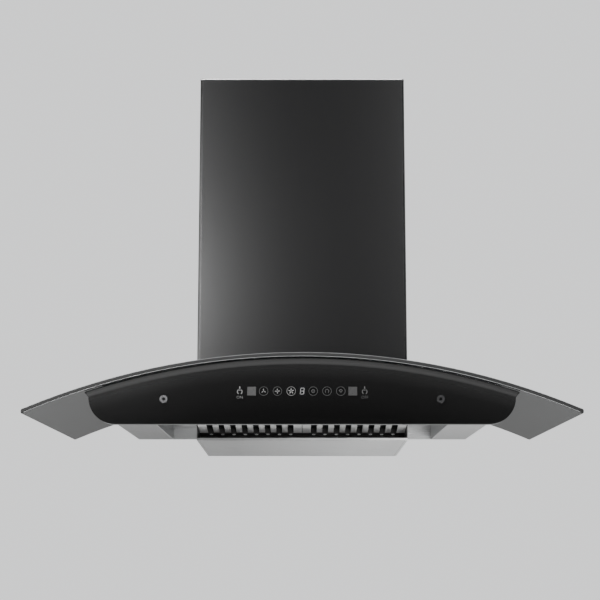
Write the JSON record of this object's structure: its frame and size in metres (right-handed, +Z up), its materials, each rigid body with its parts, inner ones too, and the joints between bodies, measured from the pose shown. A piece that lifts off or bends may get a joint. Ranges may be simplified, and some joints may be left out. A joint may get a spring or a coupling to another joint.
{
  "type": "chimney range hood",
  "caption": "Wall-mounted kitchen chimney hood with a curved smoked-glass canopy, touch panel, baffle filters, oil tray, blower and telescopic duct cover.",
  "frame": {"origin": "midpoint of the two wall bolts, on the wall plane", "axes": "+X to the right seen from the front, +Y into the wall, +Z up"},
  "size_m": [0.9, 0.48, 0.666],
  "materials": {
    "satin_black_steel": "satin brushed black",
    "smoked_glass": "polished, smoke grey",
    "black_gloss": "high gloss",
    "stainless": "brushed",
    "baffle_steel": "bright brushed",
    "screw_chrome": "polished",
    "zinc_steel": "zinc plated",
    "coated_steel": "black powder coat",
    "black_plastic": "moulded",
    "grey_plastic": "moulded",
    "seal_rubber": "matt",
    "sensor_lens": "smooth",
    "display_lens": "smooth",
    "circuit_board": "solder mask",
    "lamp_lens": "frosted",
    "motor_metal": "cast",
    "capacitor_case": "drawn"
  },
  "bodies": {
    "hood": {"glass_canopy": "smoked_glass", "glass_gasket": "seal_rubber", "body_pan": "stainless", "front_panel": "black_gloss", "panel_backplate": "coated_steel", "panel_screws": "screw_chrome", "sensor_windows": "sensor_lens", "display_module": "display_lens", "touch_pads": "seal_rubber", "touch_board": "circuit_board", "suction_box": "coated_steel", "suction_box_screws": "zinc_steel", "tray_rails": "zinc_steel", "lamp_housings": "screw_chrome", "lamp_lenses": "lamp_lens", "lamp_boards": "circuit_board", "wall_bracket": "zinc_steel", "blower_housing": "coated_steel", "glass_screws": "zinc_steel", "volute_front": "black_plastic", "volute_rear": "black_plastic", "inlet_ring": "grey_plastic", "motor_body": "motor_metal", "motor_bearings": "screw_chrome", "motor_screws": "zinc_steel", "outlet_collar": "black_plastic", "damper_pins": "zinc_steel", "collar_screws": "zinc_steel", "duct_cover_lower": "satin_black_steel", "cover_bracket": "zinc_steel", "cover_clips": "zinc_steel", "cover_screws": "zinc_steel", "control_box": "grey_plastic", "control_box_lid": "grey_plastic", "control_board": "circuit_board", "terminal_block": "grey_plastic", "cable_gland": "black_plastic", "capacitor": "capacitor_case", "capacitor_strap": "zinc_steel"},
    "upper_cover": {"duct_cover_upper": "satin_black_steel"},
    "tray": {"oil_tray": "stainless"},
    "filter_left": {"filter_frame_left": "baffle_steel", "filter_bars_left": "baffle_steel", "filter_caps_left": "baffle_steel"},
    "filter_right": {"filter_frame_right": "baffle_steel", "filter_bars_right": "baffle_steel", "filter_caps_right": "baffle_steel"},
    "latch_left": {"filter_latch_left": "zinc_steel"},
    "latch_right": {"filter_latch_right": "zinc_steel"},
    "wheel": {"impeller": "grey_plastic", "impeller_nut": "zinc_steel", "motor_shaft": "zinc_steel"},
    "damper_left": {"damper_flap_left": "grey_plastic"},
    "damper_right": {"damper_flap_right": "grey_plastic"}
  },
  "joints": [
    {"name": "upper_cover_slide", "type": "slide", "parent": "hood", "child": "upper_cover", "axis": [0, 0, 1], "range_m": [0, 0.3]},
    {"name": "tray_slide", "type": "slide", "parent": "hood", "child": "tray", "axis": [0, -1, 0], "range_m": [0, 0.19]},
    {"name": "wheel_spin", "type": "hinge", "parent": "hood", "child": "wheel", "pos_m": [-0.045, -0.15, -0.072], "axis": [0, 1, 0], "continuous": true},
    {"name": "filter_left_tilt", "type": "hinge", "parent": "hood", "child": "filter_left", "pos_m": [-0.09075, -0.24, -0.3], "axis": [1, 0, 0], "range_deg": [0, 12]},
    {"name": "latch_left_slide", "type": "slide", "parent": "filter_left", "child": "latch_left", "axis": [0, 0.9824, -0.1867], "range_m": [0, 0.006], "stiffness_N_per_m": 300, "springref_m": -0.002},
    {"name": "damper_left_swing", "type": "hinge", "parent": "hood", "child": "damper_left", "pos_m": [-0.0045, -0.148, 0.0816], "axis": [0, 1, 0], "range_deg": [0, 78]},
    {"name": "filter_right_tilt", "type": "hinge", "parent": "hood", "child": "filter_right", "pos_m": [0.09075, -0.24, -0.3], "axis": [1, 0, 0], "range_deg": [0, 12]},
    {"name": "latch_right_slide", "type": "slide", "parent": "filter_right", "child": "latch_right", "axis": [0, 0.9824, -0.1867], "range_m": [0, 0.006], "stiffness_N_per_m": 300, "springref_m": -0.002},
    {"name": "damper_right_swing", "type": "hinge", "parent": "hood", "child": "damper_right", "pos_m": [0.0045, -0.148, 0.0816], "axis": [0, -1, 0], "range_deg": [0, 78]}
  ]
}
